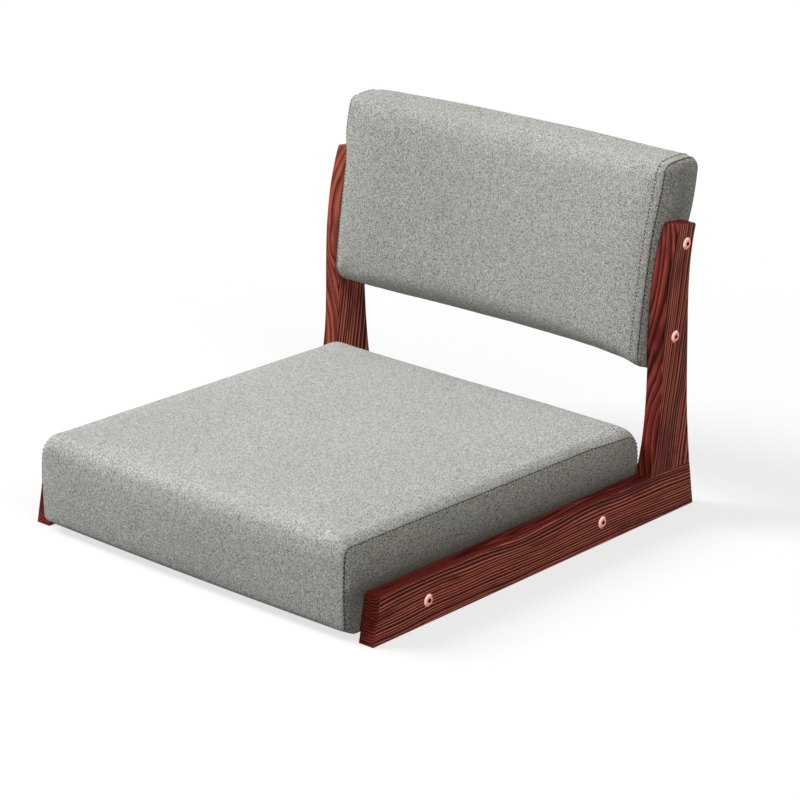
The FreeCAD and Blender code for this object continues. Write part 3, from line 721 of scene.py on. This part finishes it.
def sew(name, grid, counts, seams, finishes):
    """Cuts the grid at its two seam rows and returns the cover and the left and right panels.

    The cover's weave is measured round each ring from the middle of the front, and across the
    rings. A side panel's weave is measured straight, as depth and height.
    """
    normals = outward(grid)
    low, high = seams
    cover_rows = np.concatenate([
        np.stack(turned_in(grid[low], normals[low], 1, 0.1 * mm)[::-1]), grid[low + 1:high],
        np.stack(turned_in(grid[high], normals[high], -1, 0.1 * mm))])
    crossing = run_lengths(cover_rows[:, cover_rows.shape[1] // 4])
    from_edge = np.minimum(crossing, crossing[-1] - crossing)
    step = np.linalg.norm(np.roll(cover_rows, -1, 1) - cover_rows, axis=2)
    run = np.concatenate([np.zeros((len(step), 1)), np.cumsum(step, 1)], 1)
    mid_front = counts[0] + counts[1] // 2
    run -= run[:, mid_front:mid_front + 1]
    weave = np.stack([run, np.broadcast_to(crossing[:, None], run.shape), np.zeros(run.shape)], 2)
    near = np.broadcast_to(np.maximum(from_edge - 3 * mm, 0)[:, None], step.shape)
    pieces = [skin(name + "_cover_cloth", cover_rows, {"weave": weave, "from_seam": near})[0]]
    pieces[0].data.materials.append(finishes[0])
    for side, seam, part in ((-1, low, grid[:low]), (1, high, grid[:high:-1])):
        edge = turned_in(grid[seam], normals[seam], side, -0.25 * mm)
        rows = np.concatenate([part, np.stack(edge)])
        if side > 0:
            rows = rows[::-1]
        weave = np.stack([rows[..., 1], rows[..., 2], np.full(rows.shape[:2], side * 0.3)], 2)
        away = np.linalg.norm(rows[..., 1:] - grid[seam][None, :, 1:], axis=2)
        label = "left" if side < 0 else "right"
        piece = skin(name + "_shaded_side_cloth_" + label, rows, {"weave": weave, "from_seam": away})[0]
        piece.data.materials.append(finishes[1])
        pieces.append(piece)
    for piece in pieces:
        rounding = piece.modifiers.new("Smooth", "SUBSURF")
        rounding.levels = rounding.render_levels = 1
        wall = piece.modifiers.new("Cloth thickness", "SOLIDIFY")
        wall.thickness = 0.9 * mm
        wall.offset = -1
        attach(piece, "root")
        print(piece.name, len(piece.data.vertices), "points")
    return pieces


# %% [markdown]
# ## The seat
# The seat is a foam block on a board, under one cloth from the front over the top to the rear. Its
# sizes are those of the chair's solids, less what the filling adds again. Its crown and bows follow
# squares and fourth powers of the width, because foam stands full in the middle and falls off only
# near a seam. Moving points by hand would give the same look, but nobody could change it later.

# %% Seat
seat_counts, seat_edge = (5, 9, 46), 0.020
seat_turns, seat_seam_turns = [8, 16, 24, 31, 39, 48, 58, 68, 79, 90], (68, 39)
seat_front, seat_rear, seat_bottom, seat_top = -0.25655, 0.16831, 0.009, 0.0988


def seat_rings(x, drawn):
    """The seat's rings: bows grow with 1 - (x / half width) squared, the top changes with x ** 4.

    The left end stands a little fuller. The right end slopes down early, so its side panel is a
    long soft curve above the rail, and its upper front edge is sharper.
    """
    full = 1 - (x / pad_half) ** 2
    end = (x / pad_half) ** 4
    right = x > 0
    top = (seat_top + np.where(right, -0.0022, 0.0012) * end
           - np.where(right, 0.034, 0.013) * drawn)
    flat = np.zeros_like(x)
    low_radius = np.full_like(x, 0.0052)
    return ring_grid(
        seat_counts, seat_front - 0.003 * full + 0.0006 + 0.0035 * drawn,
        seat_rear + 0.0015 * full - 0.0006 - np.where(right, 0.008, 0.0035) * drawn,
        seat_bottom + flat, top + 0.00175, top - 0.00175,
        (low_radius, low_radius, 0.016 + 0.003 * drawn,
         0.0145 - np.where(right, 0.0065, 0.0) * end + 0.003 * drawn),
        (flat, 0.001 + flat, 0.0015 * full, 0.0010 + flat))


seat_grid, seat_seams = whole_pad(seat_rings, seat_counts, seat_edge, seat_turns,
                                  seat_seam_turns)
# Towards the rear the right edge turns down later, which makes a squarer corner there.
round_part = np.clip((seat_grid[..., 0] - pad_half + seat_edge) / seat_edge, 0, 1)
squarer = 1 + 1.4 * smooth(seat_grid[..., 1], 0.09, 0.16)
seat_grid[..., 0] = np.where(round_part > 0, pad_half - seat_edge * (1 - round_part) ** squarer,
                             seat_grid[..., 0])
print("seat grid", seat_grid.shape, "seam rows", seat_seams)

# %% [markdown]
# The rails clamp the lower part of the side panels, and the lining holds the underside. What is
# left free may swell by a few millimetres, less towards the rear, where the panel stands upright.

# %% Seat filling and cloth
at_side = beyond(seat_grid, seat_seams)
underside = seat_grid[..., 2] < seat_bottom + 0.5 * mm
clamped = at_side & (seat_grid[..., 2] < rail_top)
seat_grid[..., 0] -= np.sign(seat_grid[..., 0]) * 1.0 * mm * clamped
seat_held = underside | clamped
seat_held[seat_seams] = True
upwards = np.abs(outward(seat_grid)[..., 2])
seat_give = np.where(at_side, 5.0 - 3.7 * smooth(seat_grid[..., 1], 0.11, 0.15),
                     1.1 + 1.2 * upwards) * mm
seat_grid = filled("seat filling", seat_grid, seat_held, seat_give)
seat_pieces = sew("seat", seat_grid, seat_counts, seat_seams, (seat_cloth, shaded_side_cloth))
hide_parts("seat_cover", "seat_foam")
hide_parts("seat_side_panel_left")
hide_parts("seat_side_panel_right")

# %% [markdown]
# ## The back
# The back is the same kind of pad on a bent panel. It could be modelled leaning, but sizes are
# simpler to read on an upright pad, so it is drawn upright, bent in plan to fit the sitter, and
# then leaned. Above the tops of the uprights nothing clamps it, so its ends spread there a little.

# %% Back
back_counts, back_edge = (7, 22, 5), 0.022
back_turns, back_seam_turns = [20, 30, 38, 46, 57, 68, 84, 90], (84, 46)
back_front, back_rear = -0.03055, 0.02575
back_bottom, back_top = -0.0779, 0.1271
back_lean = math.radians(9.8)
back_place = (0.19895, 0.23304)        # depth and height of the middle of its bolts
back_bow = 0.018


def back_rings(x, drawn):
    """The back's rings: the plan bow moves whole rings to the rear, most at mid width.

    The upper edge falls, and the edges grow sharper, with the fourth power of x / half width.
    Towards the top stitching near each end the front draws in, so the pad looks plump. At the
    right end the front rounds off more deeply, and the lower corner hangs down a little.
    """
    right = x > 0
    full = 1 - (x / pad_half) ** 2
    end = (x / pad_half) ** 4
    shift = back_bow * full
    waist = smooth(np.abs(x), 0.158, 0.192)
    top = back_top + 0.0028 * full - 0.0015 * end - 0.006 * drawn
    hang = np.where(right, 0.0055, 0.0) * smooth(np.abs(x), 0.170, 0.199)
    flat = np.zeros_like(x)
    return ring_grid(
        back_counts,
        back_front + shift + 0.0005 + 0.0035 * waist + np.where(right, 0.016, 0.008) * drawn,
        back_rear + shift - 0.0012 + np.where(right, 0.003, 0.0) * waist - 0.003 * drawn,
        back_bottom - 0.0012 + 0.002 * waist - hang,
        top - 0.0025, top + 0.0025,
        (0.024 - np.where(right, 0.012, 0.003) * end, 0.016 - 0.006 * end,
         0.018 - np.where(right, 0.0115, 0.007) * end, 0.029 - 0.020 * end),
        (0.001 + flat, 0.0015 + flat, 0.001 + flat, 0.0030 + flat))


def leaned(grid):
    """Turns the upright pad about the middle of its bolts and puts it in the chair.

    Above the uprights the ends spread outwards, the left one more than the right one.
    """
    cos, sin = math.cos(back_lean), math.sin(back_lean)
    x = grid[..., 0]
    y = back_place[0] + grid[..., 1] * cos + grid[..., 2] * sin
    z = back_place[1] - grid[..., 1] * sin + grid[..., 2] * cos
    spread = np.where(x < 0, -0.0070, 0.0025) * smooth(z, 0.28, 0.33) * smooth(np.abs(x), 0.14, 0.2)
    return np.stack([x + spread, y, z], 2)


def front_edge(name, heights):
    """Where an upright's front edge is at some heights: its lowest depth, level by level."""
    mesh = nodes[name].data
    flat = np.empty(len(mesh.vertices) * 3, np.float32)
    mesh.vertices.foreach_get("co", flat)
    points = flat.reshape(-1, 3).astype(float)
    levels = np.unique(np.round(points[:, 2], 3))
    depth = [points[np.abs(points[:, 2] - level) < 1.5 * mm, 1].min() for level in levels]
    return np.interp(heights, levels, depth)


back_grid, back_seams = whole_pad(back_rings, back_counts, back_edge, back_turns,
                                  back_seam_turns)
back_grid = leaned(back_grid)
stitched = [back_seams[0] + 2, back_seams[1] - 3]
print("back grid", back_grid.shape, "seam rows", back_seams, "stitched rows", stitched)

# %% [markdown]
# The uprights clamp the part of the side panels that lies behind their front edges. The seams and
# the second row of stitches hold the cloth down too, so it swells between them.

# %% Back filling and cloth
at_side = beyond(back_grid, back_seams)
clamped = (at_side & (back_grid[..., 2] < upright_top)
           & (back_grid[..., 1] > front_edge("right_upright", back_grid[..., 2])))
back_grid[..., 0] -= np.sign(back_grid[..., 0]) * 0.8 * mm * clamped
back_held = clamped.copy()
back_held[back_seams + stitched] = True
back_give = np.where(at_side, 2.5, 3.2) * mm
back_grid = filled("back filling", back_grid, back_held, back_give)
back_pieces = sew("back", back_grid, back_counts, back_seams, (back_cloth, shaded_side_cloth))
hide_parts("back_cover", "back_foam_front", "back_foam_rear", "back_bottom_panel")
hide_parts("back_side_panel_left")
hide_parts("back_side_panel_right")

# %% [markdown]
# ## Stitches
# A sewn seam shows as a row of short dark dashes. They could be painted or placed one by one as
# objects. Here one stitch is a small capsule whose ends dip into the cloth, so it catches light as
# thread does. Hundreds are needed, so each has 30 faces, and all stitches of a seam are worked out
# together: a place on the seam, the direction along it and the direction out of it.

# %% Stitches
def stitch_shape(sides=6, rings=4):
    """A unit capsule along X: its points, the faces of its body, and those at its two poles."""
    turn = np.arange(sides) * 2 * math.pi / sides
    place = np.linspace(-0.42, 0.42, rings)
    ring = np.stack([np.repeat(place, sides), np.tile(np.cos(turn), rings),
                     np.tile(np.sin(turn), rings)], 1)
    points = np.concatenate([ring, [[-0.5, 0, 0], [0.5, 0, 0]]])
    ring, start = np.meshgrid(np.arange(rings - 1), np.arange(sides), indexing="ij")
    end = (start + 1) % sides
    low, high = ring * sides, (ring + 1) * sides
    body = np.stack([low + start, low + end, high + end, high + start], -1).reshape(-1, 4)
    start, end, last = start[0], end[0], (rings - 1) * sides
    first_pole = np.full(sides, rings * sides)
    ends = np.concatenate([np.stack([end, start, first_pole], 1),
                           np.stack([last + start, last + end, first_pole + 1], 1)])
    return points, body, ends


def stitch_row(name, grid, row, keep, lift, pitch, length, radius, finish, sway=0.0):
    """Stitches along a grid's row where a rule keeps its points, lifted off it by a length.

    Each stitch is turned by the sway to alternate sides, and its ends dip as x squared.
    """
    chosen = np.flatnonzero(keep(grid[row]))
    normals = outward(grid)[row][chosen]
    path = grid[row][chosen] + normals * lift
    run = run_lengths(path)
    at = np.arange(pitch / 2, run[-1], pitch)

    def read(values, places):
        return np.stack([np.interp(places, run, values[:, i]) for i in range(3)], 1)

    centre, out = read(path, at), read(normals, at)
    ahead = read(path, at + length / 2) - read(path, at - length / 2)
    along = ahead / np.linalg.norm(ahead, axis=1, keepdims=True)
    side = np.cross(out, along)
    side /= np.linalg.norm(side, axis=1, keepdims=True)
    out = np.cross(along, side)
    turn = (sway * np.where(np.arange(len(at)) % 2, 1, -1))[:, None]
    cos, sin = np.cos(turn), np.sin(turn)
    along, side = along * cos + side * sin, side * cos - along * sin
    points, body, ends = stitch_shape()
    x, y, z = points.T
    dip = -2.2 * radius * (2 * x) ** 2
    made = (centre[:, None] + along[:, None] * (x * length)[None, :, None]
            + side[:, None] * (y * radius)[None, :, None]
            + out[:, None] * (z * radius + dip)[None, :, None])
    offset = (np.arange(len(at)) * len(points))[:, None, None]
    mesh = bpy.data.meshes.new(name)
    mesh.from_pydata(made.reshape(-1, 3), [], (body[None] + offset).reshape(-1, 4).tolist()
                     + (ends[None] + offset).reshape(-1, 3).tolist())
    mesh.polygons.foreach_set("use_smooth", np.ones(len(mesh.polygons), bool))
    mesh.materials.append(finish)
    mesh.update()
    stitches = placed(name, mesh)
    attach(stitches, "root")
    print(name, len(at), "stitches")


def thread_finish(name, light, dark):
    """Twisted thread: slanted lines from a sine of the place, over a little noise."""
    finish, tree, shader, where = new_finish(name, roughness=0.7, Sheen_Weight=0.1)
    part = xyz(tree, where)
    slant = plus(tree, part[0], plus(tree, part[1], part[2]))
    twist = calc(tree, "SINE", times(tree, slant, 9000.0))
    grain = noise(tree, where, 800.0, 2.0)
    tree.links.new(blend(tree, fade(tree, plus(tree, twist, grain), -0.4, 1.4),
                         colour(*dark), colour(*light)), shader.inputs["Base Color"])
    raised(tree, shader, twist, 0.3, 0.0001)
    return finish


# %% [markdown]
# Dark thread closes the seams of both pads. On the back a second, paler row holds the allowance
# down a finger's width inside the seam, and its stitches lean to alternate sides.

# %% Seam threads
dark_thread = thread_finish("charcoal thread", (46, 44, 42), (18, 17, 16))
grey_thread = thread_finish("grey thread", (128, 126, 118), (64, 62, 57))


def above_floor(points):
    """Keeps what is more than 3 mm above the seat's underside."""
    return points[:, 2] > seat_bottom + 3 * mm


def not_under_back(points):
    """Keeps what is more than 6 mm above the back's underside, measured along the leaning pad."""
    y, z = points[:, 1] - back_place[0], points[:, 2] - back_place[1]
    return y * math.sin(back_lean) + z * math.cos(back_lean) > back_bottom + 6 * mm


for side, label, seat_lift, back_lift in ((0, "left", -0.2 * mm, -0.2 * mm),
                                          (1, "right", 0.15 * mm, 0.35 * mm)):
    stitch_row("seat_seam_thread_" + label, seat_grid, seat_seams[side], above_floor, seat_lift,
               4.6 * mm, 3.1 * mm, 0.5 * mm, dark_thread)
    stitch_row("back_seam_thread_" + label, back_grid, back_seams[side], not_under_back, back_lift,
               4.2 * mm, 2.9 * mm, 0.45 * mm, dark_thread)
    stitch_row("back_top_stitch_" + label, back_grid, stitched[side], not_under_back, 0.35 * mm,
               3.6 * mm, 3.0 * mm, 0.5 * mm, grey_thread, math.radians(28))

# %% [markdown]
# ## Floor, light and background
# The chair stands on a pale floor in soft studio light: one wide lamp high on the left, a weak one
# from the right, and an even grey world. More light would make the floor white too, but the cloth
# would lose its shades. So the world is plain white only for rays from the camera and in
# reflections, and the floor glows white for them but keeps a share of the chair's shadow.

# %% Floor
floor_half, floor_gap = 6.0, 0.2 * mm


def white_floor():
    """Matt white mixed with a plain white glow that only the camera and reflections see.

    The glow's share grows from 0.72 at the chair to 1 where the floor is 1.2 m away. For light that
    bounces on to the chair the floor is dark grey, so it doesn't light the pads from below.
    """
    finish, tree, shader, where = new_finish("pale floor", roughness=0.9)
    speck = noise(tree, where, 30.0, 2.0)
    seen = add(tree, "ShaderNodeLightPath")
    pale = blend(tree, speck, (0.88, 0.88, 0.88, 1), (0.92, 0.92, 0.92, 1))
    tree.links.new(blend(tree, seen.outputs["Is Camera Ray"], (0.12, 0.12, 0.12, 1), pale),
                   shader.inputs["Base Color"])
    glow = add(tree, "ShaderNodeEmission", {"Color": (1, 1, 1, 1), "Strength": 1.0})
    direct = calc(tree, "MAXIMUM", seen.outputs["Is Camera Ray"], seen.outputs["Is Glossy Ray"])
    reach = vector(tree, "LENGTH", where)["Value"]
    share = times(tree, direct, fade(tree, reach, 0.35, 1.2, 0.72, 1.0))
    both = add(tree, "ShaderNodeMixShader", {0: share, 1: shader.outputs[0],
               2: glow.outputs[0]})
    tree.links.new(both.outputs[0], tree.nodes["Material Output"].inputs["Surface"])
    return finish


corners = np.array([[-1, -1, 0], [1, -1, 0], [1, 1, 0], [-1, 1, 0]]) * floor_half
floor_mesh = bpy.data.meshes.new("floor")
floor_mesh.from_pydata(corners - np.array([0, 0, floor_gap]), [], [[0, 1, 2, 3]])
floor_mesh.materials.append(white_floor())
floor = placed("floor", floor_mesh)

# %% Light
def lamp(name, place, aim, size, power):
    """A square lamp at a place, turned towards a point."""
    light = bpy.data.lights.new(name, "AREA")
    light.size = size
    light.energy = power
    made = placed(name, light)
    made.location = place
    made.rotation_euler = (Vector(aim) - Vector(place)).to_track_quat("-Z", "Y").to_euler()


lamp("high left lamp", (-6.2, -3.4, 6.4), (0, 0, 0.1), 3.9, 1010)
lamp("right fill", (2.2, -0.8, 2.2), (0, 0, 0.15), 1.2, 30)

world = bpy.data.worlds.new("studio")
bpy.context.scene.world = world
world.use_nodes = True
tree = world.node_tree
even = tree.nodes["Background"]
even.inputs["Color"].default_value = (1, 1, 1, 1)
even.inputs["Strength"].default_value = 0.21
white = add(tree, "ShaderNodeBackground", {"Color": (1, 1, 1, 1), "Strength": 1.0})
ray = add(tree, "ShaderNodeLightPath")
direct = calc(tree, "MAXIMUM", ray.outputs["Is Camera Ray"],
              calc(tree, "MAXIMUM", ray.outputs["Is Glossy Ray"],
                   ray.outputs["Is Transmission Ray"]))
both = add(tree, "ShaderNodeMixShader", {0: direct, 1: even.outputs[0], 2: white.outputs[0]})
tree.links.new(both.outputs[0], tree.nodes["World Output"].inputs["Surface"])
bpy.context.scene.view_settings.view_transform = "Standard"
